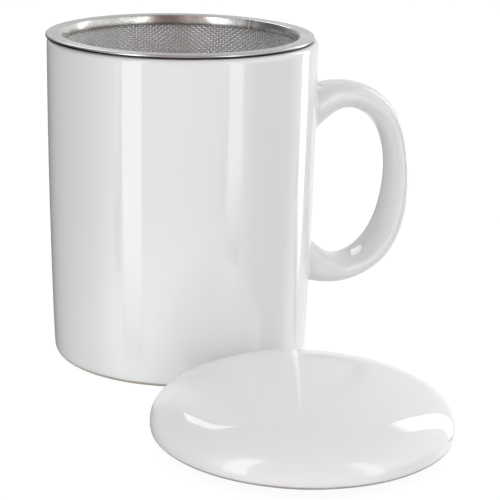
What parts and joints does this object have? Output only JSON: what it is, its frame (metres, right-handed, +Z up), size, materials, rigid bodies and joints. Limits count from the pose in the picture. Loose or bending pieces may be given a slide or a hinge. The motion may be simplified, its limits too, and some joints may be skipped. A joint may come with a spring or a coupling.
{
  "type": "lidded tea mug with infuser",
  "caption": "Straight porcelain tea mug with a strap handle, a drop-in steel flange and woven wire infuser basket, and a loose domed lid lying beside it.",
  "frame": {"origin": "centre of the mug's foot ring, on the table", "axes": "+Z up along the mug's axis, +X from that axis towards the handle, and the loose lid lies on the -Y side"},
  "size_m": [0.1252, 0.1776, 0.1066],
  "materials": {
    "porcelain": "white glazed porcelain, high gloss, with a bare biscuit line at the foot",
    "lid_porcelain": "white glazed porcelain, high gloss",
    "rim_steel": "stainless steel, circular brushed flange and bright drawn collar",
    "mesh_steel": "woven stainless steel wire",
    "trim_steel": "stainless steel strip"
  },
  "bodies": {
    "mug": {"mug_body": "porcelain", "mug_handle": "porcelain"},
    "infuser": {"infuser_rim": "rim_steel", "clamp_band": "trim_steel", "mesh_wall": "mesh_steel", "mesh_base": "mesh_steel", "base_hoop": "trim_steel"},
    "lid": {"lid": "lid_porcelain"}
  },
  "joints": [
    {"name": "infuser_lift", "type": "slide", "parent": "mug", "child": "infuser", "axis": [0, 0, 1], "range_m": [0, 0.12]},
    {"name": "lid_lift", "type": "slide", "parent": "mug", "child": "lid", "axis": [0, 0, 1], "range_m": [0, 0.15]}
  ]
}
